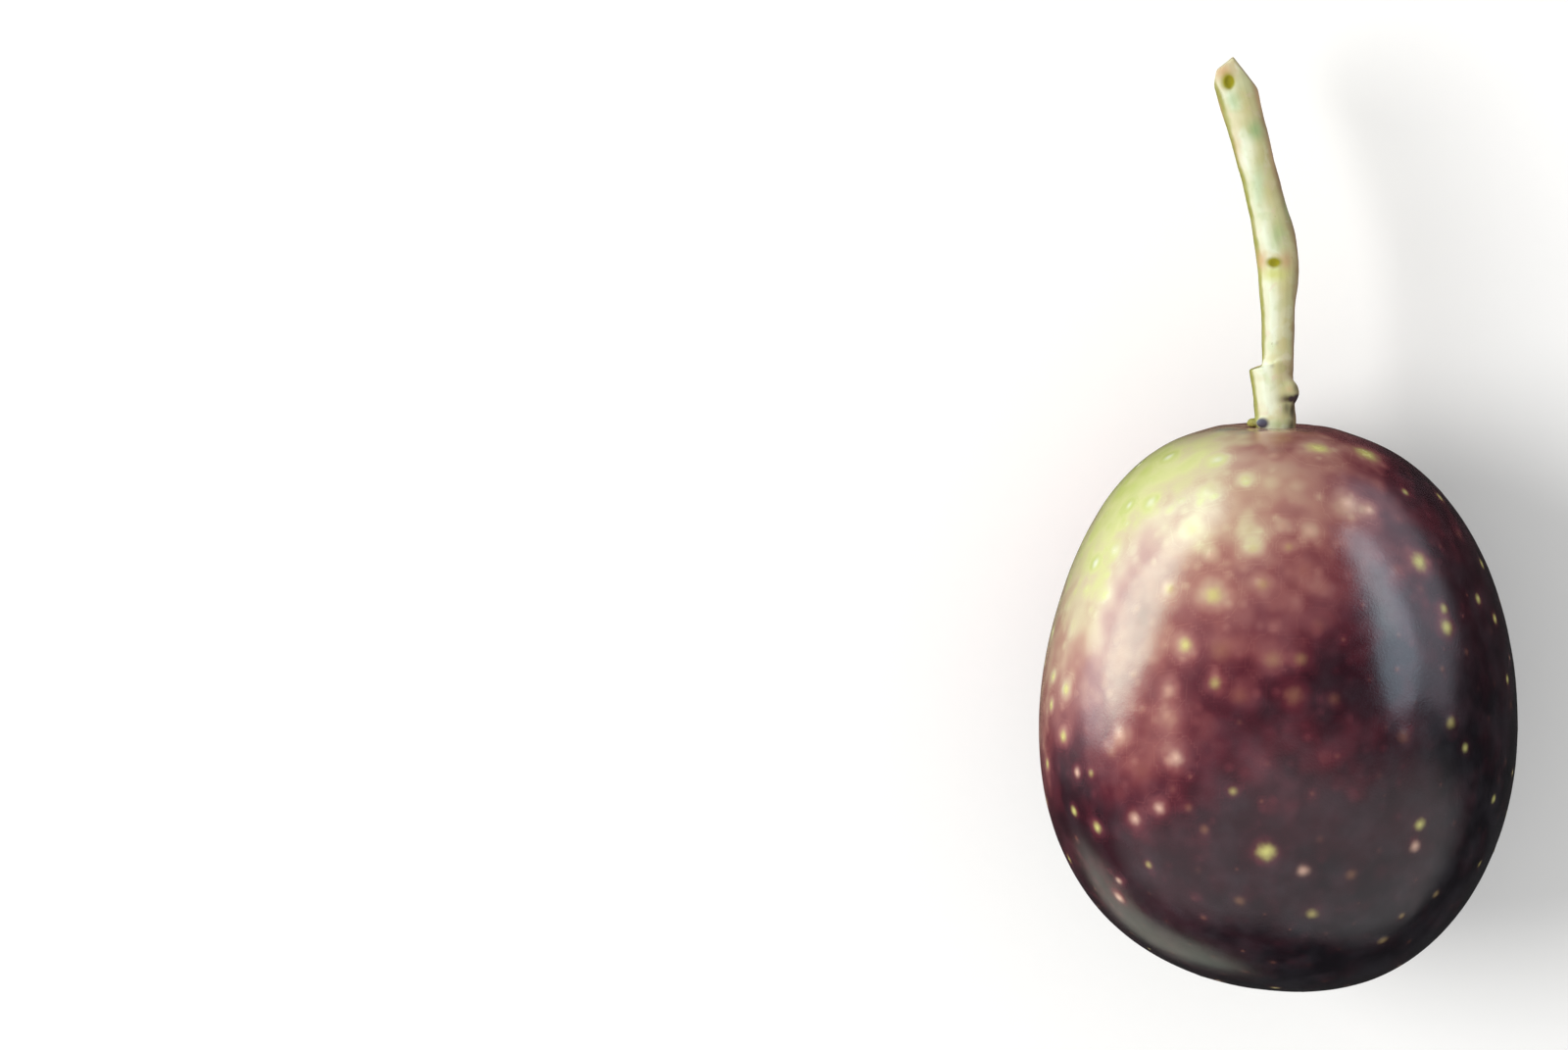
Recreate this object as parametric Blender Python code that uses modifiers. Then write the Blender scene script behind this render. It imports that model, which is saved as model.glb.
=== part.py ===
"""An olive picked with its stalk, lying on its side on a small flat spot.

The olive's own frame has its long axis along Z, from the apex up to the stalk, with X
across the fruit and -Y on the side that faces up once it lies down. An empty lays
that frame down: the stalk points along +Y and a little down, as a lying olive
balances, and the origin is at the centre of the flat spot that it rests on.
"""

import math

import bmesh
import bpy
from mathutils import Matrix, Vector

MM = 0.001

# Fruit, with its two half-lengths measured along the axis from the widest ring.
# The fullness is 2 on an ellipse, and squarer shoulders have more.
FRUIT_RADIUS = 10.0 * MM
STALK_HALF_LENGTH = 13.35 * MM
APEX_HALF_LENGTH = 10.7 * MM
STALK_HALF_FULLNESS = 2.52
APEX_HALF_FULLNESS = 2.10
DIMPLE_DEPTH = 0.5 * MM
DIMPLE_RADIUS = 2.4 * MM
APEX_LEAN = 0.9 * MM
STALK_END_LEAN = -0.3 * MM
LEAN_POWER = 7

# Slow swells that keep the fruit from being perfectly turned:
# height, wavelength, direction and phase
SWELLS = (
    (0.06 * MM, 19.0 * MM, (0.8, 0.5, 0.3), 0.4),
    (0.05 * MM, 14.0 * MM, (-0.4, 0.8, 0.5), 1.9),
    (0.04 * MM, 11.0 * MM, (0.5, -0.3, 0.8), 3.3),
)

# Where the lying fruit touches the surface, and how much of it is flat there
REST_STATION = 2.5 * MM
REST_DEPTH = 0.16 * MM

# Socket in the dimple that takes the foot of the stalk
CLEARANCE = 0.2 * MM
FOOT_STATION = 12.7 * MM

# Stalk, from inside the collar to just past the cut tip: across, towards the side
# that faces up, along the axis, and the stalk's radius there
STALK_ROUTE = (
    (0.00 * MM, 0.00 * MM, 13.6 * MM, 0.66 * MM),
    (0.03 * MM, 0.00 * MM, 15.9 * MM, 0.67 * MM),
    (0.05 * MM, 0.02 * MM, 18.0 * MM, 0.73 * MM),
    (0.01 * MM, 0.06 * MM, 20.2 * MM, 0.88 * MM),
    (-0.41 * MM, 0.06 * MM, 22.2 * MM, 0.80 * MM),
    (-0.98 * MM, 0.00 * MM, 24.5 * MM, 0.78 * MM),
    (-1.60 * MM, -0.12 * MM, 26.8 * MM, 0.86 * MM),
    (-2.25 * MM, -0.30 * MM, 29.1 * MM, 0.88 * MM),
)

# Collar round the lower end of the stalk, widest at its open ledge
COLLAR_ROUTE = (
    (-0.03 * MM, 0.00 * MM, FOOT_STATION, 0.86 * MM),
    (-0.09 * MM, 0.00 * MM, 14.0 * MM, 0.87 * MM),
    (-0.34 * MM, -0.08 * MM, 16.0 * MM, 0.92 * MM),
)
COLLAR_LEDGE = (0.0 * MM, 15.75 * MM)
COLLAR_LEDGE_SLOPE = math.radians(17.0)

# The stalk was cut to a gable with its left corner broken off: across and along the
# axis at the ridge and at the corner
TIP_RIDGE = (-1.80 * MM, 28.36 * MM)
TIP_RIGHT_SLOPE = math.radians(52.0)
TIP_LEFT_SLOPE = math.radians(37.0)
TIP_CORNER = (-2.48 * MM, 27.84 * MM)
TIP_CORNER_SLOPE = math.radians(80.0)

# Small rounds grown on the collar: place as on the routes, then half-sizes
KNOB = ((0.55 * MM, 0.44 * MM, 14.45 * MM), (0.42 * MM, 0.34 * MM, 0.58 * MM))
CALYX_LOBES = (
    ((-0.60 * MM, 0.68 * MM, 13.24 * MM), (0.28 * MM, 0.24 * MM, 0.20 * MM)),
    ((-1.02 * MM, 0.28 * MM, 13.20 * MM), (0.24 * MM, 0.22 * MM, 0.18 * MM)),
)

# Oval scars where side stalks fell away: place, then half-sizes
SCARS = (
    ((-0.12 * MM, 1.02 * MM, 19.85 * MM), (0.26 * MM, 0.24 * MM, 0.20 * MM)),
    ((-1.95 * MM, 0.74 * MM, 27.35 * MM), (0.24 * MM, 0.26 * MM, 0.32 * MM)),
)

RINGS_PER_HALF = 22
FRUIT_SEGMENTS = 72
STALK_STEPS = 7
STALK_SIDE_STEPS = 6
ROUND_SEGMENTS = 14
ROUND_RINGS = 9
SOCKET_SEGMENTS = 32
SHARP_ANGLE = math.radians(35.0)
WELD_DISTANCE = 0.001 * MM


def clear_scene():
    """Remove whatever the scene holds before the olive is made."""
    for old in list(bpy.data.objects):
        bpy.data.objects.remove(old, do_unlink=True)


def make_collection(name):
    """Return a new collection linked to the scene."""
    collection = bpy.data.collections.new(name)
    bpy.context.scene.collection.children.link(collection)
    return collection


def make_material(name, colour, roughness):
    """Return a Principled material in one colour."""
    material = bpy.data.materials.new(name)
    material.use_nodes = True
    shader = material.node_tree.nodes["Principled BSDF"]
    shader.inputs["Base Color"].default_value = (*colour, 1.0)
    shader.inputs["Roughness"].default_value = roughness
    shader.inputs["Metallic"].default_value = 0.0
    return material


def add_object(name, data, collection, parent):
    """Place an object in the olive's own frame."""
    obj = bpy.data.objects.new(name, data)
    collection.objects.link(obj)
    obj.parent = parent
    return obj


def as_tool(obj):
    """Mark an object as one that only cuts or joins another."""
    obj.hide_render = True
    obj.display_type = "WIRE"
    return obj


def add_boolean(target, tool, operation):
    """Join or cut one object with another."""
    modifier = target.modifiers.new(tool.name, "BOOLEAN")
    modifier.operation = operation
    modifier.solver = "EXACT"
    modifier.object = tool


def place(spot):
    """Turn across, facing up and along into the olive's own X, Y and Z."""
    across, facing_up, along = spot
    return Vector((across, -facing_up, along))


def ring_radius(station):
    """Radius of the fruit at a distance along its axis from the widest ring."""
    if station >= 0.0:
        share = station / STALK_HALF_LENGTH
        fullness = STALK_HALF_FULLNESS
    else:
        share = station / APEX_HALF_LENGTH
        fullness = APEX_HALF_FULLNESS
    return FRUIT_RADIUS * (1.0 - share**2) ** (1.0 / fullness)


def rest_tilt():
    """Angle by which the stalk end dips when the fruit touches at its rest station."""
    rise = 2.0 * REST_STATION / (STALK_HALF_FULLNESS * STALK_HALF_LENGTH**2)
    inside = 1.0 - (REST_STATION / STALK_HALF_LENGTH) ** 2
    return math.atan(FRUIT_RADIUS * rise * inside ** (1.0 / STALK_HALF_FULLNESS - 1.0))


def make_lying_frame(collection):
    """Return the empty that lays the olive down over the origin."""
    tilt = rest_tilt()
    radius = ring_radius(REST_STATION)
    along = REST_STATION * math.cos(tilt) - radius * math.sin(tilt)
    height = REST_STATION * math.sin(tilt) + radius * math.cos(tilt)
    frame = bpy.data.objects.new("olive_frame", None)
    frame.empty_display_size = FRUIT_RADIUS
    frame.rotation_euler = (-math.pi / 2.0 - tilt, 0.0, 0.0)
    frame.location = (0.0, -along, height - REST_DEPTH)
    collection.objects.link(frame)
    return frame


def fruit_profile():
    """Points of the half outline, from the dimple down its outer side to the apex."""
    points = []
    for ring in range(2 * RINGS_PER_HALF + 1):
        angle = math.pi * ring / (2 * RINGS_PER_HALF)
        if ring <= RINGS_PER_HALF:
            half_length = STALK_HALF_LENGTH
            fullness = STALK_HALF_FULLNESS
        else:
            half_length = APEX_HALF_LENGTH
            fullness = APEX_HALF_FULLNESS
        radius = FRUIT_RADIUS * max(math.sin(angle), 0.0) ** (2.0 / fullness)
        station = half_length * math.cos(angle)
        if station > 0.0:
            station -= DIMPLE_DEPTH * math.exp(-((radius / DIMPLE_RADIUS) ** 2))
        points.append(Vector((radius, 0.0, station)))
    points[0].x = 0.0
    points[-1].x = 0.0
    return points


def unevenness(point):
    """How far one point of the turned fruit is moved to look grown."""
    swell = 0.0
    for height, wavelength, direction, phase in SWELLS:
        turns = point.dot(Vector(direction)) / wavelength
        swell += height * math.sin(2.0 * math.pi * turns + phase)
    if point.z >= 0.0:
        lean = STALK_END_LEAN * (point.z / STALK_HALF_LENGTH) ** LEAN_POWER
    else:
        lean = APEX_LEAN * (-point.z / APEX_HALF_LENGTH) ** LEAN_POWER
    return point.normalized() * swell + Vector((lean, 0.0, 0.0))


def turn_profile(points):
    """Return the mesh of a profile turned a full circle round Z."""
    outline = bpy.data.meshes.new("profile")
    edges = [(index, index + 1) for index in range(len(points) - 1)]
    outline.from_pydata(points, edges, [])
    turned = bpy.data.objects.new("profile", outline)
    bpy.context.scene.collection.objects.link(turned)
    screw = turned.modifiers.new("Turn", "SCREW")
    screw.steps = FRUIT_SEGMENTS
    screw.render_steps = FRUIT_SEGMENTS
    screw.use_merge_vertices = True
    screw.merge_threshold = WELD_DISTANCE
    depsgraph = bpy.context.evaluated_depsgraph_get()
    mesh = bpy.data.meshes.new_from_object(turned.evaluated_get(depsgraph))
    bpy.data.objects.remove(turned)
    return mesh


def make_fruit(parts, tools, frame):
    """The fruit: one solid with a dimple at the stalk and a flat spot underneath."""
    mesh = turn_profile(fruit_profile())
    for vertex in mesh.vertices:
        vertex.co += unevenness(vertex.co)
    mesh.name = "fruit"
    fruit = add_object("fruit", mesh, parts, frame)
    mesh.materials.append(make_material("ripening_skin", (0.115, 0.040, 0.042), 0.28))
    add_boolean(fruit, make_socket_cutter(tools, frame), "DIFFERENCE")
    add_boolean(fruit, make_rest_cutter(tools), "DIFFERENCE")
    return fruit


def make_socket_cutter(tools, frame):
    """Round plug that hollows the socket round the foot of the stalk."""
    across, facing_up, foot, radius = COLLAR_ROUTE[0]
    depth = 2.0 * CLEARANCE + STALK_HALF_LENGTH - foot
    form = bmesh.new()
    bmesh.ops.create_cone(
        form,
        cap_ends=True,
        segments=SOCKET_SEGMENTS,
        radius1=radius + CLEARANCE,
        radius2=radius + CLEARANCE,
        depth=depth,
    )
    middle = foot - CLEARANCE + depth / 2.0
    bmesh.ops.translate(form, verts=form.verts, vec=place((across, facing_up, middle)))
    mesh = bpy.data.meshes.new("socket_cutter")
    form.to_mesh(mesh)
    form.free()
    return as_tool(add_object("socket_cutter", mesh, tools, frame))


def make_rest_cutter(tools):
    """Block below the surface that leaves the fruit a flat spot."""
    side = FRUIT_RADIUS
    form = bmesh.new()
    bmesh.ops.create_cube(form, size=side)
    bmesh.ops.translate(form, verts=form.verts, vec=(0.0, 0.0, -side / 2.0))
    mesh = bpy.data.meshes.new("rest_cutter")
    form.to_mesh(mesh)
    form.free()
    return as_tool(add_object("rest_cutter", mesh, tools, None))


def make_tube(name, route, collection, frame):
    """A tube along a route, with the radius that each point gives, as a mesh."""
    curve = bpy.data.curves.new(name, "CURVE")
    curve.dimensions = "3D"
    curve.resolution_u = STALK_STEPS
    curve.bevel_depth = 1.0
    curve.bevel_resolution = STALK_SIDE_STEPS
    curve.use_fill_caps = True
    spline = curve.splines.new("BEZIER")
    spline.bezier_points.add(len(route) - 1)
    spline.radius_interpolation = "CARDINAL"
    for point, (across, facing_up, along, radius) in zip(spline.bezier_points, route):
        point.co = place((across, facing_up, along))
        point.radius = radius
        point.handle_left_type = "AUTO"
        point.handle_right_type = "AUTO"
    guide = add_object(name, curve, collection, frame)
    depsgraph = bpy.context.evaluated_depsgraph_get()
    mesh = bpy.data.meshes.new_from_object(guide.evaluated_get(depsgraph))
    bpy.data.objects.remove(guide)
    bpy.data.curves.remove(curve)
    form = bmesh.new()
    form.from_mesh(mesh)
    bmesh.ops.remove_doubles(form, verts=form.verts, dist=WELD_DISTANCE)
    bmesh.ops.recalc_face_normals(form, faces=form.faces)
    form.to_mesh(mesh)
    form.free()
    mesh.name = name
    return add_object(name, mesh, collection, frame)


def slice_off(obj, ridge, slope):
    """Cut a tube off along a plane that falls away at an angle from its ridge."""
    across, along = ridge
    outwards = Vector((math.sin(slope), 0.0, math.cos(slope)))
    form = bmesh.new()
    form.from_mesh(obj.data)
    cut = bmesh.ops.bisect_plane(
        form,
        geom=form.verts[:] + form.edges[:] + form.faces[:],
        dist=WELD_DISTANCE,
        plane_co=Vector((across, 0.0, along)),
        plane_no=outwards,
        clear_outer=True,
    )
    rim = [item for item in cut["geom_cut"] if isinstance(item, bmesh.types.BMEdge)]
    bmesh.ops.edgeloop_fill(form, edges=rim)
    bmesh.ops.recalc_face_normals(form, faces=form.faces)
    form.to_mesh(obj.data)
    form.free()


def make_round(name, centre, half_sizes, tools, frame):
    """A small egg-shaped solid that is joined to the stalk or cut out of it."""
    form = bmesh.new()
    bmesh.ops.create_uvsphere(
        form,
        u_segments=ROUND_SEGMENTS,
        v_segments=ROUND_RINGS,
        radius=1.0,
    )
    shape = Matrix.Translation(place(centre)) @ Matrix.Diagonal((*half_sizes, 1.0))
    bmesh.ops.transform(form, matrix=shape, verts=form.verts)
    mesh = bpy.data.meshes.new(name)
    form.to_mesh(mesh)
    form.free()
    return as_tool(add_object(name, mesh, tools, frame))


def make_stem(parts, tools, frame):
    """The stalk with its collar, knob and calyx lobes, and its scars cut out."""
    stem = make_tube("stem", STALK_ROUTE, parts, frame)
    slice_off(stem, TIP_RIDGE, TIP_RIGHT_SLOPE)
    slice_off(stem, TIP_RIDGE, -TIP_LEFT_SLOPE)
    slice_off(stem, TIP_CORNER, -TIP_CORNER_SLOPE)
    collar = as_tool(make_tube("collar", COLLAR_ROUTE, tools, frame))
    slice_off(collar, COLLAR_LEDGE, -COLLAR_LEDGE_SLOPE)
    add_boolean(stem, collar, "UNION")
    add_boolean(stem, make_round("knob", *KNOB, tools, frame), "UNION")
    for number, (centre, half_sizes) in enumerate(CALYX_LOBES, 1):
        lobe = make_round(f"calyx_lobe_{number}", centre, half_sizes, tools, frame)
        add_boolean(stem, lobe, "UNION")
    for number, (centre, half_sizes) in enumerate(SCARS, 1):
        scar = make_round(f"scar_{number}", centre, half_sizes, tools, frame)
        add_boolean(stem, scar, "DIFFERENCE")
    stem.data.materials.append(make_material("pale_stalk", (0.72, 0.74, 0.52), 0.6))
    return stem


def shade(obj):
    """Smooth the rounds and keep the cut edges crisp."""
    obj.data.shade_smooth()
    obj.data.set_sharp_from_angle(angle=SHARP_ANGLE)


def main():
    """Model the olive."""
    clear_scene()
    parts = make_collection("olive")
    tools = make_collection("cutters")
    frame = make_lying_frame(parts)
    shade(make_fruit(parts, tools, frame))
    shade(make_stem(parts, tools, frame))


main()
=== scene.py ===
import math
import random

import bmesh
import bpy
import numpy as np
from mathutils import Matrix, Vector, noise
from mathutils.bvhtree import BVHTree
from mathutils.kdtree import KDTree


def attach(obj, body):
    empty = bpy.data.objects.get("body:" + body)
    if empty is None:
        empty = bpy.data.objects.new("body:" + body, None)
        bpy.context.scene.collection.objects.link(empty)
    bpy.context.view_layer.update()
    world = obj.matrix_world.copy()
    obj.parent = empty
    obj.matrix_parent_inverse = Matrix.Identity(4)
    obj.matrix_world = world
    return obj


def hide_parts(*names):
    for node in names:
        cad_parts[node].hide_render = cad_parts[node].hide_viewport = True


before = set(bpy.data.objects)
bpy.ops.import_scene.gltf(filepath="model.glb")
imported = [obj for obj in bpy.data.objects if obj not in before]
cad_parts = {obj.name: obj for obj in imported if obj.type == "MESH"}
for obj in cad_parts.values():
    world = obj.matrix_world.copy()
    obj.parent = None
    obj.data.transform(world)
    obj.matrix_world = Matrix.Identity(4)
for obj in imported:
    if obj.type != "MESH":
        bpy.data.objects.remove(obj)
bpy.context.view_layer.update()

MM = 0.001
WHITE = (1.0, 1.0, 1.0, 1.0)

# The photograph, in its own pixels, and the edges in it that the camera fits the fruit to
PHOTO_WIDTH = 1600
PHOTO_HEIGHT = 1071
PHOTO_LEFT = 1060.0
PHOTO_RIGHT = 1549.0
PHOTO_TOP = 428.5
PHOTO_BOTTOM = 1014.5

# The fruit's own frame: across, towards the side that faces up, and along the axis.
# Sizes and places on the olive are in mm there, from the middle of its widest ring.
REST_TILT = math.radians(6.49)
FRUIT_CENTRE = Vector((0.0, -1.37 * MM, 9.92 * MM))
ACROSS = Vector((1.0, 0.0, 0.0))
FACING = Vector((0.0, math.sin(REST_TILT), math.cos(REST_TILT)))
ALONG = Vector((0.0, math.cos(REST_TILT), -math.sin(REST_TILT)))
OWN_AXES = np.array((ACROSS, FACING, ALONG))
FRUIT_RADIUS = 10.0
STALK_HALF_LENGTH = 13.35
APEX_HALF_LENGTH = 10.7

# Camera: it looks down on the lying olive, a little from the stalk end
VIEW_LEAN = math.radians(6.0)
CAMERA_DISTANCE = 0.36
CAMERA_LENS = 200.0
SENSOR_WIDTH = 36.0
CLIP_START = 0.01
CLIP_END = 10.0
FIT_ROUNDS = 8

# Fruit mesh: its cage is smoothed over the socket, then all over, then past the dimple
CAGE_CUTS = 29
SKIN_LEVELS = 2
SOCKET_FILL_RADIUS = 1.3
FILL_PASSES = 80
SMOOTH_PASSES = 3
DIMPLE_RADIUS = 2.6
EVEN_PASSES = 14

# Relief of the skin: swells with their height, wavelength and seed, folds that pucker
# the skin round the dimple, and a small point in a dent at the apex
SWELLS = ((0.024, 4.2, 5.0), (0.012, 2.1, 6.0), (0.005, 0.9, 7.0))
PUCKER_COUNT = 11
PUCKER_HEIGHT = 0.05
PUCKER_START = 0.5
PUCKER_FULL = 1.0
PUCKER_RADIUS = 1.9
PUCKER_STRAY = 3.0
PUCKER_STRAY_LENGTH = 1.6
PUCKER_MEAN = 0.6
PUCKER_SPREAD = 0.8
APEX_POINT_HEIGHT = 0.10
APEX_POINT_RADIUS = 0.42
APEX_DENT_RADIUS = 2.4 * APEX_POINT_RADIUS
APEX_DENT_SHARE = 0.8

# Ripeness by the angle, in degrees, from the pale pole on the upper left shoulder
PALE_POLE = Vector((-0.58, 0.36, 0.73))
RIPENESS_BY_ANGLE = (
    (0.0, 0.00),
    (16.0, 0.08),
    (24.0, 0.18),
    (32.0, 0.30),
    (42.0, 0.42),
    (52.0, 0.53),
    (62.0, 0.64),
    (72.0, 0.74),
    (84.0, 0.82),
    (100.0, 0.92),
    (125.0, 1.00),
    (180.0, 1.00),
)
# How far that angle strays: degrees, wavelength and seed
RIPENESS_STRAY = ((9.0, 5.5, 31.0), (5.0, 2.4, 43.0))
MOST_RIPE = 1.05

# Soft patches that ripened sooner or later: photo pixel, radius in mm, change
RIPENESS_PATCHES = (
    (1170, 572, 1.9, 0.28),
    (1215, 520, 1.4, 0.12),
    (1188, 498, 1.5, 0.08),
    (1150, 545, 1.2, 0.08),
    (1248, 505, 1.2, 0.05),
    (1154, 640, 2.1, 0.23),
    (1178, 622, 1.3, 0.06),
    (1128, 635, 1.8, 0.08),
    (1126, 604, 0.8, -0.08),
    (1120, 645, 0.8, -0.08),
    (1105, 680, 1.3, 0.06),
    (1120, 745, 1.3, 0.08),
    (1470, 762, 1.8, 0.12),
    (1084, 640, 1.2, 0.08),
    (1085, 775, 2.2, 0.18),
    (1100, 820, 2.0, 0.15),
    (1190, 860, 2.5, 0.10),
    (1270, 832, 2.0, 0.07),
    (1165, 785, 1.3, -0.04),
    (1170, 725, 1.6, 0.06),
    (1222, 680, 1.7, 0.13),
    (1215, 600, 1.4, 0.03),
    (1255, 572, 1.4, 0.06),
    (1278, 552, 0.9, -0.12),
    (1270, 655, 1.6, 0.04),
    (1270, 735, 1.8, 0.09),
    (1325, 650, 1.8, 0.05),
    (1325, 720, 1.5, 0.05),
    (1285, 452, 1.5, 0.10),
    (1335, 450, 1.6, 0.09),
    (1395, 455, 1.6, 0.07),
    (1435, 482, 2.0, 0.08),
    (1395, 505, 1.8, -0.02),
    (1370, 700, 1.8, 0.10),
)

# Pale dots on the skin that the photo shows: pixel, width in pixels, brightness
PHOTO_DOTS = (
    (1345, 457, 23, 1.0),
    (1394, 463, 24, 1.0),
    (1448, 573, 18, 1.0),
    (1476, 640, 15, 1.0),
    (1473, 621, 10, 0.7),
    (1525, 631, 10, 0.9),
    (1512, 575, 11, 0.8),
    (1508, 611, 10, 0.8),
    (1469, 507, 10, 0.8),
    (1376, 514, 19, 0.9),
    (1397, 520, 11, 0.9),
    (1434, 502, 8, 0.7),
    (1538, 693, 9, 0.8),
    (1292, 869, 18, 1.0),
    (1238, 607, 18, 0.7),
    (1210, 658, 14, 0.8),
    (1240, 697, 12, 0.6),
    (1288, 596, 13, 0.5),
    (1299, 673, 18, 0.45),
    (1327, 672, 13, 0.45),
    (1320, 709, 18, 0.4),
    (1330, 582, 16, 0.3),
    (1348, 600, 14, 0.3),
    (1361, 713, 12, 0.35),
    (1368, 689, 12, 0.35),
    (1337, 542, 10, 0.6),
    (1310, 536, 9, 0.5),
    (1315, 558, 9, 0.5),
    (1270, 489, 11, 0.7),
    (1242, 469, 13, 0.7),
    (1193, 466, 12, 0.7),
    (1234, 501, 14, 0.6),
    (1214, 539, 14, 0.7),
    (1236, 566, 10, 0.6),
    (1193, 600, 10, 0.6),
    (1174, 512, 13, 0.6),
    (1152, 515, 9, 0.6),
    (1138, 560, 14, 0.6),
    (1118, 574, 12, 0.8),
    (1088, 703, 12, 0.9),
    (1075, 690, 9, 0.9),
    (1073, 719, 10, 1.0),
    (1085, 751, 12, 0.9),
    (1069, 779, 10, 0.9),
    (1099, 788, 10, 0.9),
    (1113, 789, 8, 0.6),
    (1096, 827, 10, 0.9),
    (1120, 844, 11, 1.0),
    (1158, 835, 13, 0.8),
    (1183, 824, 12, 0.8),
    (1143, 750, 15, 0.7),
    (1134, 766, 14, 0.5),
    (1195, 733, 15, 0.5),
    (1200, 773, 16, 0.8),
    (1165, 787, 20, 0.3),
    (1258, 807, 9, 0.6),
    (1229, 846, 10, 0.4),
    (1172, 882, 8, 0.6),
    (1142, 898, 8, 0.8),
    (1142, 915, 12, 1.0),
    (1091, 876, 9, 0.8),
    (1330, 888, 13, 0.7),
    (1339, 932, 12, 0.6),
    (1379, 892, 12, 0.4),
    (1265, 919, 12, 0.4),
    (1449, 841, 12, 0.9),
    (1444, 863, 12, 0.8),
    (1480, 737, 12, 0.6),
    (1495, 763, 9, 0.7),
    (1524, 815, 9, 0.8),
    (1432, 751, 13, 0.4),
    (1430, 934, 8, 0.5),
    (1411, 959, 11, 0.5),
    (1465, 912, 9, 0.5),
    (1510, 881, 8, 0.6),
    (1346, 637, 15, 0.3),
    (1310, 648, 18, 0.35),
    (1265, 709, 18, 0.35),
    (1245, 663, 22, 0.4),
    (1279, 620, 16, 0.4),
    (1274, 541, 12, 0.5),
    (1279, 558, 12, 0.6),
    (1192, 704, 14, 0.6),
)
# The dots among them that look pinkish, while the others look yellowish
PINK_DOTS = {
    (1376, 514), (1397, 520), (1337, 542), (1310, 536), (1236, 566), (1192, 704),
    (1195, 733), (1143, 750), (1134, 766), (1200, 773), (1099, 788), (1183, 824),
    (1158, 835), (1142, 898), (1142, 915), (1330, 888), (1444, 863), (1432, 751),
}

# Marks on the skin round the stalk: photo pixel, half-width and half-height in pixels,
# strength
SKIN_MARKS = {
    "russet": (
        (1300, 446, 22, 7, 0.8),
        (1330, 440, 14, 5, 0.5),
        (1215, 437, 42, 7, 0.35),
    ),
    # A painted reflection: pale grey-green mirrored in the back wall of the hollow round the
    # stalk
    "painted_reflection": (
        (1250, 438, 12, 4, 0.8),
        (1268, 441, 8, 4, 0.5),
    ),
}

# How each dot is made: its radius as a share of its seen width, its height, and how far
# its relief and its colour reach, in radii. Dots that would meet go in separate layers.
DOT_RADIUS_SHARE = 0.62
DOT_HEIGHT = 0.018
DOT_RELIEF_REACH = 0.8
DOT_REACH = 2.5
DOT_LAYERS = 3
DOT_LAYER_GAP = 0.2
OUTSIDE_DOTS = DOT_REACH + 0.5
LOOK_OUTSIDE_DOTS = 0.5

# Further dots strewn at random: the middle and the spread of their radius, the range of
# their brightness and of their gap to the next one, and the length of the stalk end that
# has none. Those that the photo would show are smaller and fainter.
SEEDED_DOTS = 330
DOT_SEED = 41
SEEDED_RADIUS = 0.17
SEEDED_SPREAD = 0.32
SEEDED_BRIGHTNESS = (0.25, 1.0)
SEEDED_GAP = (0.75, 1.9)
DOT_FREE_END = 1.4
SEEN_FACING = 0.2
SEEN_RADIUS_SHARE = 0.8
SEEN_BRIGHTNESS_SHARE = 0.4

# Stalk mesh, with the knob on its collar smoothed more than the rest
WELD_DISTANCE = 0.001
STEM_VOXEL = 0.05
STEM_SMOOTH_PASSES = 4
KNOB_PLACE = Vector((0.62, 0.44, 14.45))
KNOB_REACH = 1.0
KNOB_SMOOTH_PASSES = 45

# Middle line of the collar and then of the stalk: place along the fruit's axis, place
# across it, place towards the side that faces up, and radius
STALK_LINE = (
    (12.7, -0.03, 0.00, 0.86),
    (14.0, -0.09, 0.00, 0.87),
    (15.7, -0.31, -0.07, 0.92),
    (15.9, 0.03, 0.00, 0.67),
    (18.0, 0.05, 0.02, 0.73),
    (20.2, 0.01, 0.06, 0.88),
    (22.2, -0.41, 0.06, 0.80),
    (24.5, -0.98, 0.00, 0.78),
    (26.8, -1.60, -0.12, 0.86),
    (29.1, -2.25, -0.30, 0.88),
)

# Relief of the stalk: ridges, lumps and grains, which grow from the collar's top down to
# their full height on it. A stretch below 1 draws noise out along the stalk.
RIDGE_HEIGHT = 0.010
RIDGE_MEAN = 0.8
RIDGE_WAVELENGTH = 0.23
RIDGE_STRETCH = 0.16
LUMP_HEIGHT = 0.040
LUMP_WAVELENGTH = 1.3
GRAIN_HEIGHT = 0.006
COLLAR_GRAIN_HEIGHT = 0.012
GRAIN_WAVELENGTH = 0.32
COLLAR_TOP = 15.8
FULL_GRAINS = 15.2
FIBRE_STRETCH = 0.14
# Least offset from the middle line for working out its side
LEAST_OFFSET = 0.01

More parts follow.
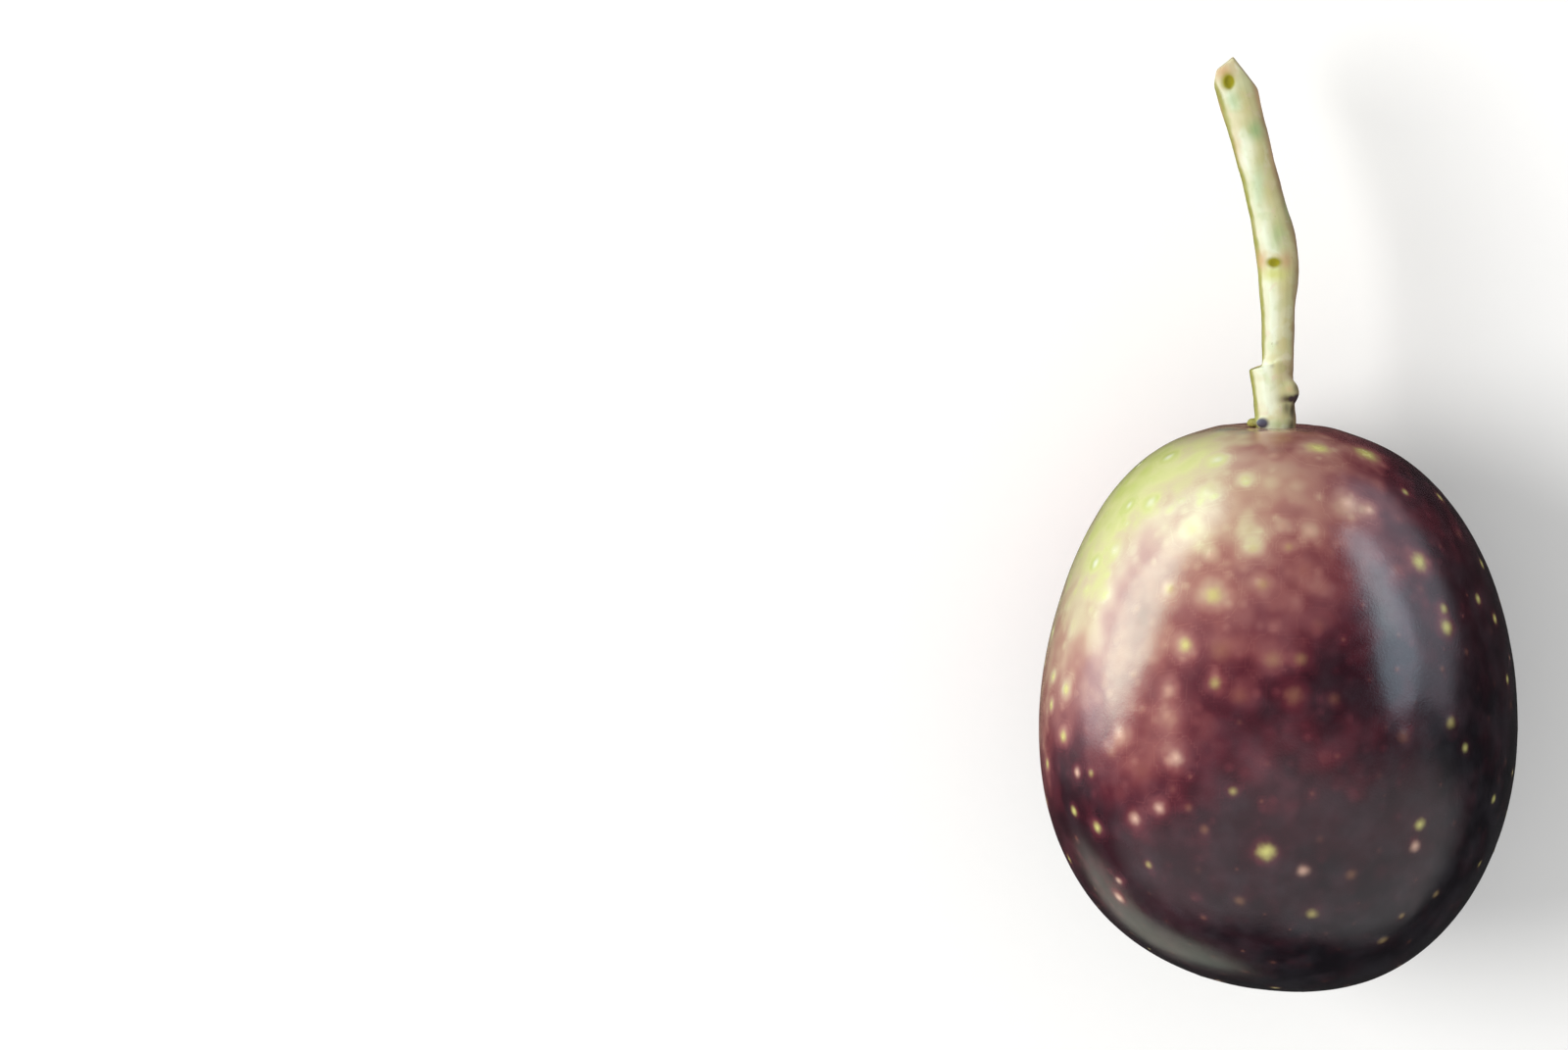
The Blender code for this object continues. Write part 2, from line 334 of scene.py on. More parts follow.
# Marks on the stalk: photo pixel, half-width and half-height in pixels, strength
STEM_MARKS = {
    "pit": (
        (1253.5, 83, 8.0, 11.0, 1.0),
        (1300, 267.5, 8.5, 6.0, 1.0),
    ),
    "blush": (
        (1248, 73, 14, 12, 1.0),
        (1287, 266, 9, 10, 0.9),
        (1313, 266, 8, 11, 0.9),
        (1284, 100, 6, 18, 0.8),
        (1246, 112, 6, 14, 0.7),
        (1297, 158, 5, 30, 0.6),
        (1262, 150, 6, 22, 0.45),
        (1276, 376, 10, 7, 0.8),
        (1316, 397, 4, 4, 0.5),
        (1262, 62, 8, 8, 0.4),
        (1300, 150, 4, 12, 0.5),
    ),
    "lip": ((1300, 280, 14, 8, 0.9),),
    # Tan down the stalk's right half: partly its own colour and partly painted shade
    "tan": (
        (1266, 96, 9, 9, 0.8),
        (1274, 114, 9, 20, 1.0),
        (1287, 160, 9, 24, 1.0),
        (1294, 194, 9, 26, 1.0),
        (1302, 228, 9, 18, 0.9),
        (1311, 305, 8, 42, 0.9),
        (1310, 350, 8, 24, 0.8),
        (1306, 385, 8, 22, 0.8),
        (1304, 428, 12, 8, 0.6),
    ),
    "green": (
        (1281, 133, 9, 10, 1.0),
        (1258, 102, 8, 10, 0.7),
        (1284, 190, 7, 26, 0.6),
        (1304, 240, 8, 16, 0.7),
        (1313, 215, 5, 20, 0.6),
        (1303, 433, 10, 5, 0.6),
    ),
    # Painted shade: a dark crescent under the knob's right side
    "dark": (
        (1323, 407, 6, 6, 1.0),
        (1318, 407, 4, 4, 0.9),
        (1322, 419, 3, 8, 0.7),
    ),
    "slate": ((1287, 432, 8, 6.5, 1.0),),
    # Painted shade under the knob, down the collar's right side and along its left edge, and two
    # faint spots on its front
    "shade": (
        (1314, 407, 8, 4.5, 1.0),
        (1323, 396, 4, 6, 0.7),
        (1319, 418, 6, 12, 1.0),
        (1313, 416, 5, 7, 0.7),
        (1318, 434, 6, 8, 0.9),
        (1273, 383, 2.5, 10, 0.75),
        (1275.5, 400, 2.5, 12, 0.7),
        (1278, 417, 2.5, 9, 0.5),
        (1324, 391, 3, 8, 0.8),
        (1298, 373, 2.2, 2.2, 0.35),
        (1303, 350, 2.0, 2.0, 0.25),
    ),
}

# Windows and soft glows that the gloss mirrors: colour, brightness, softness of the edge
# in degrees, and the photo pixels along the middle of the mirror image, each with the
# glow's half-width in degrees as seen from the fruit
GLOWS = {
    "left_window": (
        (0.76, 0.97, 1.0), 3.4, 8.0,
        ((1222, 520, 8.0), (1172, 572, 15.0), (1146, 628, 17.0), (1139, 662, 8.0)),
    ),
    "left_window_core": (
        (0.74, 1.0, 0.72), 6.8, 6.0,
        ((1236, 530, 3.5), (1193, 574, 6.5), (1167, 624, 9.0), (1145, 668, 6.5)),
    ),
    "left_haze": (
        (0.96, 0.96, 1.0), 0.45, 20.0,
        ((1212, 490, 12.0), (1158, 545, 18.0), (1124, 620, 14.0)),
    ),
    "right_window": (
        (0.64, 0.86, 1.0), 3.2, 5.0,
        ((1386, 553, 5.0), (1409, 610, 7.0), (1424, 650, 9.0), (1427, 678, 8.0)),
    ),
    "right_window_core": (
        (0.84, 1.0, 0.92), 1.7, 6.0,
        ((1382, 552, 1.5), (1404, 592, 2.5), (1416, 625, 1.0)),
    ),
    "right_haze": (
        (0.80, 0.87, 1.0), 1.45, 16.0,
        ((1404, 520, 5.0), (1446, 596, 11.0), (1458, 650, 4.0)),
    ),
    "lower_haze": (
        (1.0, 0.94, 0.95), 0.72, 20.0,
        ((1185, 884, 6.0), (1300, 874, 25.0), (1415, 884, 22.0)),
    ),
    "lower_rim": (
        (0.92, 1.0, 0.82), 0.70, 14.0,
        ((1138, 914, 2.0), (1165, 942, 3.0), (1200, 964, 2.0)),
    ),
}
# Brightness of the surroundings between the glows
SURROUND = 0.03

# Light that shades the olive and the floor but isn't mirrored in the skin. The key
# light's brightness is about that of a white matt surface that faces it.
KEY_DIRECTION = Vector((-0.70, 0.15, 0.70))
KEY_DISTANCE = 0.6
KEY_SIZE = 0.35
KEY_LIGHT = 0.66
KEY_COLOUR = (1.0, 0.99, 0.97)
AMBIENT = 0.60

# Floor, with the number of its tooth's features on each metre
FLOOR_RADIUS = 3.0
FLOOR_SIDES = 96
FLOOR_COLOURS = ((250, 250, 249), (253, 253, 252))
FLOOR_TOOTH_SCALE = 1800.0
FLOOR_ROUGHNESS = 0.9
FLOOR_GLOW = 0.08

# Skin colours in sRGB: by ripeness, of the dots, of what else lies on the skin, and of a painted
# reflection
SKIN_COLOURS = (
    (0.00, (202, 212, 124)),
    (0.09, (216, 218, 150)),
    (0.19, (214, 200, 162)),
    (0.30, (196, 162, 138)),
    (0.40, (174, 124, 112)),
    (0.50, (148, 90, 88)),
    (0.59, (122, 62, 67)),
    (0.69, (88, 36, 47)),
    (0.81, (52, 21, 31)),
    (1.00, (20, 15, 22)),
)
PINK_DOT = (226, 186, 164)
YELLOW_DOT = (216, 214, 126)
FAINT_DOT = (172, 112, 88)
DOT_ON_PALE_SKIN = (238, 240, 222)
SKIN_TINTS = (
    ("russet", (160, 104, 78)),
    # Pale grey-green of the painted reflection in the hollow round the stalk
    ("painted_reflection", (188, 190, 166)),
    ("apex_tip", (74, 58, 44)),
)
BLOOM = (150, 146, 158)

# In what follows, a scale is the number of a noise's features on each mm. A span holds
# the values between which a change begins and is full. Most of a noise lies in this one:
NOISE_SPAN = (0.25, 0.75)

# Changes of the ripeness by mottles, by round blobs and round the dots
MOTTLE_SCALE = 0.8
MOTTLE_CHANGE = 0.05
BLOB_SCALES = (0.95, 1.6)
BLOB_SMOOTHNESS = 0.4
BLOB_SPAN = (0.52, 0.05)
BLOB_STRENGTH_SPAN = (0.35, 1.0)
BLOB_CHANGE = 0.075
HALO_SPAN = (2.4, 0.5)
HALO_CHANGE = 0.17

# Outline of the dots in radii, how much they cover by their brightness, the brightness
# from which they lose the faint colour, and the ripeness from which they turn whiter
WOBBLE_SCALE = 3.0
WOBBLE_SPAN = (0.2, 0.8)
DOT_WOBBLE = 0.10
DOT_SPAN = (1.35, 0.0)
DOT_POWER = 1.5
DOT_COVER_SPAN = (0.1, 1.0)
DOT_COVER = (0.05, 0.86)
CLEAR_DOT_SPAN = (0.3, 0.75)
PALE_SKIN_SPAN = (0.36, 0.14)

# Bloom, gloss and bump of the skin
BLOOM_SCALE = 0.7
BLOOM_SPAN = (0.35, 0.75)
BLOOM_COVER = 0.05
GLOSS_SCALE = 2.2
SKIN_ROUGHNESS = (0.15, 0.24)
DOT_ROUGHNESS = 0.10
SKIN_IOR = 1.45
COAT_WEIGHT = 0.35
COAT_ROUGHNESS = 0.14
PORE_SCALE = 9.0
PORE_DEPTH = 0.012
DOT_DEPTH = 0.012

# Stalk colours in sRGB, from its left side to its right: partly its own colour and partly painted
# shade, darker at the olive left edge and tan to brown on the right
STALK_COLOURS = (
    (0.00, (138, 136, 58)),
    (0.06, (156, 154, 76)),
    (0.13, (224, 223, 192)),
    (0.32, (234, 241, 218)),
    (0.52, (231, 234, 204)),
    (0.70, (214, 211, 162)),
    (0.87, (192, 184, 134)),
    (0.96, (160, 136, 98)),
    (1.00, (138, 108, 76)),
)
# How far those colours stray to the side
STRAY_SCALE = 0.9
STALK_STRAY = 0.10
# Soft patches on the stalk: scale, the span of each, how much it covers, and its colour
STALK_PATCHES = (
    (1.05, (0.50, 0.62), 0.55, (204, 216, 170)),
    (0.85, (0.54, 0.66), 0.60, (212, 200, 148)),
    (1.35, (0.56, 0.66), 0.55, (228, 206, 188)),
    (1.20, (0.58, 0.68), 0.50, (240, 246, 232)),
)
PATCH_DISTORTION = 0.3
# Streaks along the stalk and fine specks on it
STREAK = (210, 204, 158)
STREAK_SCALE = 3.2
STREAK_SPAN = (0.55, 0.8)
STREAK_COVER = 0.3
SPECK = (150, 128, 86)
SPECK_SCALE = 7.0
SPECK_SPAN = (0.70, 0.80)
SPECK_COVER = 0.45
# Colour of each kind of soft mark on the stalk, and how much it covers
SOFT_MARKS = (
    # tan partly stands for painted shade on the stalk's right half
    ("tan", (200, 190, 130), 0.7),
    ("green", (152, 184, 126), 0.8),
    ("blush", (204, 166, 122), 0.9),
    ("lip", (208, 210, 104), 0.8),
    # shade is painted shade round the knob and along the collar's edges
    ("shade", (84, 74, 48), 1.0),
)
# Colour of each kind of mark on the stalk with a clear edge, and the span of that edge
CLEAR_MARKS = (
    ("pit", (150, 144, 26)),
    # dark is painted shade under the knob
    ("dark", (62, 46, 48)),
    ("slate", (86, 84, 102)),
)
EDGE_SPAN = (0.15, 0.75)

# Gloss and bump of the stalk
STALK_ROUGHNESS = (0.48, 0.66)
STALK_IOR = 1.42
FIBRE_SCALE = 7.0
FIBRE_DEPTH = 0.03
GRAIN_SCALE = 12.0
GRAIN_DEPTH = 0.012


def from_srgb(colour):
    """Linear colour of an 8-bit sRGB colour."""
    def linear(value):
        share = value / 255.0
        return share / 12.92 if share <= 0.04045 else ((share + 0.055) / 1.055) ** 2.4
    return (*(linear(value) for value in colour), 1.0)


def own_coordinates(points):
    """World points in metres turned into the fruit's own frame in mm."""
    return (np.asarray(points) - np.array(FRUIT_CENTRE)) @ OWN_AXES.T / MM


def axis_distance(own):
    """Distance of points from the fruit's axis."""
    return np.hypot(own[:, 0], own[:, 1])


def smooth_step(low, high, values):
    """Smooth change from 0 at low to 1 at high."""
    share = np.clip((values - low) / (high - low), 0.0, 1.0)
    return share * share * (3.0 - 2.0 * share)


def bell(distance, radius):
    """Bell curve: 1 at the middle and about 0.37 at the radius."""
    return np.exp(-((distance / radius) ** 2))


def noise_values(points, wavelength, seed):
    """Soft noise at points in mm, with one value for each point."""
    shift = Vector((seed, 2.0 * seed, 3.0 * seed))
    return np.array([noise.noise(Vector(p) / wavelength + shift) for p in points])


def point_array(mesh):
    """Vertex positions of a mesh."""
    flat = np.empty(len(mesh.vertices) * 3, np.float32)
    mesh.vertices.foreach_get("co", flat)
    return flat.reshape(-1, 3).astype(float)


def normal_array(mesh):
    """Vertex normals of a mesh."""
    flat = np.empty(len(mesh.vertices) * 3, np.float32)
    mesh.vertex_normals.foreach_get("vector", flat)
    return flat.reshape(-1, 3).astype(float)


def set_points(mesh, points):
    """Move a mesh's vertices."""
    mesh.vertices.foreach_set("co", points.astype(np.float32).ravel())
    mesh.update()


def raise_surface(mesh, height):
    """Move each vertex of a mesh outwards by its height in mm."""
    set_points(mesh, point_array(mesh) + normal_array(mesh) * (height * MM)[:, None])


def set_attribute(mesh, name, values):
    """Store one number or one vector for each vertex."""
    kind = "FLOAT" if values.ndim == 1 else "FLOAT_VECTOR"
    field = "value" if values.ndim == 1 else "vector"
    made = mesh.attributes.new(name, kind, "POINT")
    made.data.foreach_set(field, values.astype(np.float32).ravel())


def set_material(mesh, material):
    """Shade a mesh smooth in one material."""
    mesh.shade_smooth()
    mesh.materials.clear()
    mesh.materials.append(material)


def surface_of(mesh):
    """Search tree of a mesh's faces, which finds where a line meets them."""
    return BVHTree.FromPolygons(
        [v.co for v in mesh.vertices],
        [p.vertices for p in mesh.polygons],
    )


def smooth_part(form, chosen, passes):
    """Move chosen vertices halfway to the middle of their neighbours in each pass."""
    form.verts.ensure_lookup_table()
    vertices = [form.verts[index] for index in np.flatnonzero(chosen)]
    for _ in range(passes):
        bmesh.ops.smooth_vert(
            form, verts=vertices, factor=0.5, use_axis_x=True, use_axis_y=True, use_axis_z=True
        )


def add_object(name, data):
    """Link a new object to the scene."""
    made = bpy.data.objects.new(name, data)
    bpy.context.scene.collection.objects.link(made)
    return made


def apply_modifiers(obj):
    """Replace an object's mesh by the one that its modifiers make."""
    depsgraph = bpy.context.evaluated_depsgraph_get()
    mesh = bpy.data.meshes.new_from_object(obj.evaluated_get(depsgraph))
    obj.modifiers.clear()
    obj.data = mesh
    return mesh


# Camera


def aim_camera(camera, target, up):
    """Turn the camera to a target and keep its upper side up."""
    back = (camera.location - target).normalized()
    right = up.cross(back).normalized()
    turn = Matrix((right, back.cross(right), back)).transposed()
    camera.matrix_world = Matrix.Translation(camera.location) @ turn.to_4x4()


def pixels_per_slope(camera):
    """Pixels of the photo for each unit across at unit distance."""
    return PHOTO_WIDTH * camera.data.lens / camera.data.sensor_width


def pixel_size(camera):
    """Size of a photo pixel at the fruit's middle, in metres."""
    return CAMERA_DISTANCE / pixels_per_slope(camera)


def seen_edges(camera, points):
    """Left, right, top and bottom photo pixels of a set of points."""
    seen = np.array([camera.matrix_world.inverted() @ Vector(p) for p in points])
    scale = pixels_per_slope(camera)
    across = PHOTO_WIDTH / 2 - scale * seen[:, 0] / seen[:, 2]
    down = PHOTO_HEIGHT / 2 + scale * seen[:, 1] / seen[:, 2]
    return across.min(), across.max(), down.min(), down.max()


def make_camera():
    """Camera that sees the fruit where the photo has it."""
    data = bpy.data.cameras.new("camera")
    data.sensor_width = SENSOR_WIDTH
    data.lens = CAMERA_LENS
    data.clip_start = CLIP_START
    data.clip_end = CLIP_END
    camera = add_object("camera", data)
    angle = REST_TILT + VIEW_LEAN
    back = Vector((0.0, math.sin(angle), math.cos(angle)))
    up = Vector((0.0, math.cos(angle), -math.sin(angle)))
    camera.location = FRUIT_CENTRE + back * CAMERA_DISTANCE
    target = FRUIT_CENTRE.copy()
    points = point_array(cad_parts["fruit"].data)
    for _ in range(FIT_ROUNDS):
        aim_camera(camera, target, up)
        left, right, top, bottom = seen_edges(camera, points)
        data.lens *= (PHOTO_RIGHT - PHOTO_LEFT) / (right - left)
        pixel = pixel_size(camera)
        target.x += pixel * (left + right - PHOTO_LEFT - PHOTO_RIGHT) / 2.0
        target -= up * pixel * (top + bottom - PHOTO_TOP - PHOTO_BOTTOM) / 2.0
    aim_camera(camera, target, up)
    bpy.context.scene.camera = camera
    return camera


def photo_ray(camera, across, down):
    """Start and direction of the line of sight through a photo pixel."""
    scale = pixels_per_slope(camera)
    slope = Vector(((across - PHOTO_WIDTH / 2) / scale, (PHOTO_HEIGHT / 2 - down) / scale, -1.0))
    return camera.location.copy(), (camera.matrix_world.to_3x3() @ slope).normalized()


def photo_hit(camera, surface, across, down):
    """Place and normal where a photo pixel's line of sight meets a surface."""
    start, direction = photo_ray(camera, across, down)
    spot, normal, _, _ = surface.ray_cast(start, direction)
    if spot is None:
        nearest = start + direction * (FRUIT_CENTRE - start).dot(direction)
        spot, normal, _, _ = surface.find_nearest(nearest)
    return spot, normal


def photo_place(camera, surface, across, down):
    """Place on a surface that a photo pixel shows, in the fruit's own frame."""
    spot, _ = photo_hit(camera, surface, across, down)
    return own_coordinates(spot)


def mark_places(mesh, camera, surface, marks):
    """Store each kind of mark on a surface as one number for each vertex."""
    own = own_coordinates(point_array(mesh))
    pixel = pixel_size(camera) / MM
    for kind, spots in marks.items():
        amount = np.zeros(len(own))
        for across, down, half_width, half_height, strength in spots:
            half_sizes = np.array((half_width, half_width, half_height)) * pixel
            away = (own - photo_place(camera, surface, across, down)) / half_sizes
            amount = np.maximum(amount, strength * bell(np.linalg.norm(away, axis=1), 1.0))
        set_attribute(mesh, kind, amount)


# Fruit


def make_cage():
    """Even quad sphere cast onto the solid fruit, with its socket closed over."""
    solid = surface_of(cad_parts["fruit"].data)
    form = bmesh.new()
    bmesh.ops.create_cube(form, size=2.0)
    bmesh.ops.subdivide_edges(form, edges=form.edges[:], cuts=CAGE_CUTS, use_grid_fill=True)
    shape = (FRUIT_RADIUS, FRUIT_RADIUS, (STALK_HALF_LENGTH + APEX_HALF_LENGTH) / 2.0)
    for vertex in form.verts:
        # Even angles instead of even steps make the cells alike
        even = [math.tan(c * math.pi / 4.0) for c in vertex.co]
        own = Vector([e * s for e, s in zip(Vector(even).normalized(), shape)])
        direction = ACROSS * own.x + FACING * own.y + ALONG * own.z
        vertex.co = solid.ray_cast(FRUIT_CENTRE, direction.normalized())[0]
    own = own_coordinates([v.co for v in form.verts])
    stalk_end = own[:, 2] > 0.0
    smooth_part(form, (axis_distance(own) < SOCKET_FILL_RADIUS) & stalk_end, FILL_PASSES)
    smooth_part(form, np.full(len(own), True), SMOOTH_PASSES)
    smooth_part(form, (axis_distance(own) >= DIMPLE_RADIUS) | ~stalk_end, EVEN_PASSES)
    bmesh.ops.recalc_face_normals(form, faces=form.faces)
    mesh = bpy.data.meshes.new("fruit_skin")
    form.to_mesh(mesh)
    form.free()
    return mesh


def keep_size(mesh):
    """Undo the slight shrinking of the smoothed fruit."""
    solid = own_coordinates(point_array(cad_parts["fruit"].data))
    own = own_coordinates(point_array(mesh))
    scale = (solid.max(axis=0) - solid.min(axis=0)) / (own.max(axis=0) - own.min(axis=0))
    middle = (solid.max(axis=0) + solid.min(axis=0)) / 2.0
    own_middle = (own.max(axis=0) + own.min(axis=0)) / 2.0
    # The flat spot cuts the fruit short below, so the scale from side to side holds there
    scale[1] = scale[0]
    middle[1] = own_middle[1] = 0.0
    own = (own - own_middle) * scale + middle
    set_points(mesh, own @ OWN_AXES * MM + np.array(FRUIT_CENTRE))


def flatten_below(mesh):
    """Keep a mesh from reaching below the surface that it rests on."""
    points = point_array(mesh)
    points[:, 2] = np.maximum(points[:, 2], 0.0)
    set_points(mesh, points)


def pucker(own):
    """Height of the folds round the dimple, which fade out inwards and outwards."""
    turn = np.arctan2(own[:, 1], own[:, 0])
    stray = noise_values(own, PUCKER_STRAY_LENGTH, seed=17.0)
    folds = np.sin(PUCKER_COUNT * turn + PUCKER_STRAY * stray)
    folds *= PUCKER_MEAN + PUCKER_SPREAD * stray
    from_axis = axis_distance(own)
    ring = smooth_step(PUCKER_START, PUCKER_FULL, from_axis) * bell(from_axis, PUCKER_RADIUS)
    return PUCKER_HEIGHT * folds * ring * (own[:, 2] > 0.0)


def apex_relief(own):
    """Height of the small point at the apex and of the dent round it."""
    point = bell(axis_distance(own), APEX_POINT_RADIUS)
    dent = bell(axis_distance(own), APEX_DENT_RADIUS)
    return APEX_POINT_HEIGHT * (point - APEX_DENT_SHARE * dent) * (own[:, 2] <= 0.0)


def skin_relief(own):
    """Height of the skin's slow relief at points in the fruit's own frame."""
    height = pucker(own) + apex_relief(own)
    for size, wavelength, seed in SWELLS:
        height += size * noise_values(own, wavelength, seed)
    return height


def ripeness(own, camera, surface):
    """Ripeness of the skin from 0, green, to 1, black."""
    half = np.where(own[:, 2] > 0.0, STALK_HALF_LENGTH, APEX_HALF_LENGTH)
    unit = np.column_stack((own[:, 0] / FRUIT_RADIUS, own[:, 1] / FRUIT_RADIUS, own[:, 2] / half))
    unit /= np.linalg.norm(unit, axis=1)[:, None]
    pole = np.array(PALE_POLE.normalized())
    angle = np.degrees(np.arccos(np.clip(unit @ pole, -1.0, 1.0)))
    for degrees, wavelength, seed in RIPENESS_STRAY:
        angle += degrees * noise_values(own, wavelength, seed)
    steps = np.array(RIPENESS_BY_ANGLE)
    ripe = np.interp(angle, steps[:, 0], steps[:, 1])
    for across, down, radius, change in RIPENESS_PATCHES:
        away = own - photo_place(camera, surface, across, down)
        ripe += change * bell(np.linalg.norm(away, axis=1), radius)
    return np.clip(ripe, 0.0, MOST_RIPE)


def photo_dots(camera, surface):
    """Dots that the photo shows: place, normal, radius, brightness and hue."""
    pixel = pixel_size(camera) / MM
    dots = []
    for across, down, width, brightness in PHOTO_DOTS:
        spot, normal = photo_hit(camera, surface, across, down)
        hue = 0.0 if (across, down) in PINK_DOTS else 1.0
        dots.append((spot, normal, DOT_RADIUS_SHARE * width * pixel, brightness, hue))
    return dots


def seeded_dots(mesh, camera, taken):
    """More dots in the gaps between those taken, the same each time."""
    draw = random.Random(DOT_SEED)
    # Hues have a draw of their own, so that they don't change the places
    draw_hue = random.Random(DOT_SEED + 1)
    points = point_array(mesh)
    normals = normal_array(mesh)
    own = own_coordinates(points)
    spots = [dot[0] for dot in taken]
    toward_camera = (camera.location - FRUIT_CENTRE).normalized()
    dots = []
    while len(dots) < SEEDED_DOTS:
        index = draw.randrange(len(points))
        radius = draw.lognormvariate(math.log(SEEDED_RADIUS), SEEDED_SPREAD)
        brightness = draw.uniform(*SEEDED_BRIGHTNESS)
        gap = draw.uniform(*SEEDED_GAP) * MM
        if own[index, 2] > STALK_HALF_LENGTH - DOT_FREE_END:
            continue
        spot = Vector(points[index])
        if any((spot - other).length < gap for other in spots):
            continue
        normal = Vector(normals[index])
        if normal.dot(toward_camera) > SEEN_FACING:
            radius *= SEEN_RADIUS_SHARE
            brightness *= SEEN_BRIGHTNESS_SHARE
        spots.append(spot)
        dots.append((spot, normal, radius, brightness, draw_hue.random()))
    return dots


def dots_meet(dot, other):
    """Whether the reaches of two dots meet."""
    reach = DOT_REACH * (dot[2] + other[2]) + DOT_LAYER_GAP
    return (dot[0] - other[0]).length / MM <= reach


def sort_dots(dots):
    """Layers of dots that don't meet. A dot that finds no free layer is left out."""
    layers = [[] for _ in range(DOT_LAYERS)]
    for dot in dots:
        for layer in layers:
            if not any(dots_meet(dot, other) for other in layer):
                layer.append(dot)
                break
    return layers


def mark_dots(mesh, dots):
    """Store where each vertex lies in the dots of each layer, and raise the dots."""
    points = point_array(mesh)
    finder = KDTree(len(points))
    for index, point in enumerate(points):
        finder.insert(point, index)
    finder.balance()
    height = np.zeros(len(points))
    for number, layer in enumerate(sort_dots(dots), 1):
        offset = np.zeros((len(points), 3))
        offset[:, 2] = OUTSIDE_DOTS
        look = np.full(len(points), LOOK_OUTSIDE_DOTS)
        hues = np.zeros(len(points))
        for spot, normal, radius, brightness, hue in layer:
            side = normal.cross(ALONG).normalized()
            ahead = side.cross(normal)
            for point, index, distance in finder.find_range(spot, DOT_REACH * radius * MM):
                away = (point - spot) / (radius * MM)
                offset[index] = (away.dot(side), away.dot(ahead), 0.0)
                look[index] = brightness
                hues[index] = hue
                reach = distance / (radius * MM)
                height[index] += DOT_HEIGHT * brightness * bell(reach, DOT_RELIEF_REACH)
        set_attribute(mesh, f"dots_{number}", offset)
        set_attribute(mesh, f"dot_look_{number}", look)
        set_attribute(mesh, f"dot_hue_{number}", hues)
    raise_surface(mesh, height)


def make_fruit(camera):
    """The fruit's skin, in the place of the solid fruit. Its smooth surface is returned."""
    fruit = add_object("olive_fruit", make_cage())
    subdivision = fruit.modifiers.new("Subdivision", "SUBSURF")
    subdivision.levels = SKIN_LEVELS
    subdivision.render_levels = SKIN_LEVELS
    mesh = apply_modifiers(fruit)
    keep_size(mesh)
    surface = surface_of(mesh)
    own = own_coordinates(point_array(mesh))
    raise_surface(mesh, skin_relief(own))
    dots = photo_dots(camera, surface)
    dots += seeded_dots(mesh, camera, dots)
    mark_dots(mesh, dots)
    flatten_below(mesh)
    mark_places(mesh, camera, surface, SKIN_MARKS)
    set_attribute(mesh, "ripeness", ripeness(own, camera, surface))
    apex_tip = bell(axis_distance(own), APEX_POINT_RADIUS) * (own[:, 2] < 0.0)
    set_attribute(mesh, "apex_tip", apex_tip)
    set_attribute(mesh, "own_place", own)
    set_material(mesh, skin_material())
    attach(fruit, "root")
    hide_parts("fruit")
    return surface


# Stalk


def make_stem_mesh():
    """Fine even mesh of the solid stalk, with its edges and its knob softened."""
    form = bmesh.new()
    form.from_mesh(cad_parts["stem"].data)
    bmesh.ops.scale(form, vec=(1.0 / MM,) * 3, verts=form.verts)
    bmesh.ops.remove_doubles(form, verts=form.verts, dist=WELD_DISTANCE)
    source = bpy.data.meshes.new("stem_source")
    form.to_mesh(source)
    form.free()
    stem = add_object("olive_stem", source)
    remesh = stem.modifiers.new("Remesh", "REMESH")
    remesh.mode = "VOXEL"
    remesh.voxel_size = STEM_VOXEL
    mesh = apply_modifiers(stem)
    form = bmesh.new()
    form.from_mesh(mesh)
    smooth_part(form, np.full(len(form.verts), True), STEM_SMOOTH_PASSES)
    bmesh.ops.scale(form, vec=(MM,) * 3, verts=form.verts)
    from_knob = own_coordinates([v.co for v in form.verts]) - np.array(KNOB_PLACE)
    near_knob = np.linalg.norm(from_knob, axis=1) < KNOB_REACH
    smooth_part(form, near_knob, KNOB_SMOOTH_PASSES)
    form.to_mesh(mesh)
    form.free()
    return stem


def stalk_place(own):
    """Offset from the stalk's middle line, to the side and up, and its radius there."""
    line = np.array(STALK_LINE)
    middle_across = np.interp(own[:, 2], line[:, 0], line[:, 1])
    middle_facing = np.interp(own[:, 2], line[:, 0], line[:, 2])
    radius = np.interp(own[:, 2], line[:, 0], line[:, 3])
    return own[:, 0] - middle_across, own[:, 1] - middle_facing, radius


def stem_relief(own, turn):
    """Height of ridges, lumps and grains on the stalk."""
    unrolled = np.column_stack((np.cos(turn), np.sin(turn), own[:, 2] * RIDGE_STRETCH))
    ridges = 1.0 - np.abs(noise_values(unrolled, RIDGE_WAVELENGTH, seed=3.0))
    lumps = noise_values(own, LUMP_WAVELENGTH, seed=9.0)
    grains = noise_values(own, GRAIN_WAVELENGTH, seed=21.0)
    on_collar = smooth_step(COLLAR_TOP, FULL_GRAINS, own[:, 2])
    height = RIDGE_HEIGHT * (ridges - RIDGE_MEAN) + LUMP_HEIGHT * lumps
    return height + (GRAIN_HEIGHT + COLLAR_GRAIN_HEIGHT * on_collar) * grains


def make_stem(camera):
    """The stalk with its collar, scars and calyx lobes, in the place of the solid one."""
    stem = make_stem_mesh()
    mesh = stem.data
    mark_places(mesh, camera, surface_of(mesh), STEM_MARKS)
    own = own_coordinates(point_array(mesh))
    aside, upward, radius = stalk_place(own)
    turn = np.arctan2(upward, aside)
    raise_surface(mesh, stem_relief(own, turn))
    stretched = own[:, 2] * FIBRE_STRETCH
    fibre = np.column_stack((np.cos(turn) * radius, np.sin(turn) * radius, stretched))
    set_attribute(mesh, "fibre", fibre)
    side = aside / np.hypot(aside, upward).clip(LEAST_OFFSET)
    set_attribute(mesh, "side", 0.5 + 0.5 * side)
    set_attribute(mesh, "own_place", own)
    set_material(mesh, stalk_material())
    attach(stem, "root")
    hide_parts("stem")


# Material nodes


def feed(tree, socket, value):
    """Link or set one input."""
    if isinstance(value, bpy.types.NodeSocket):
        tree.links.new(value, socket)
    else:
        socket.default_value = value


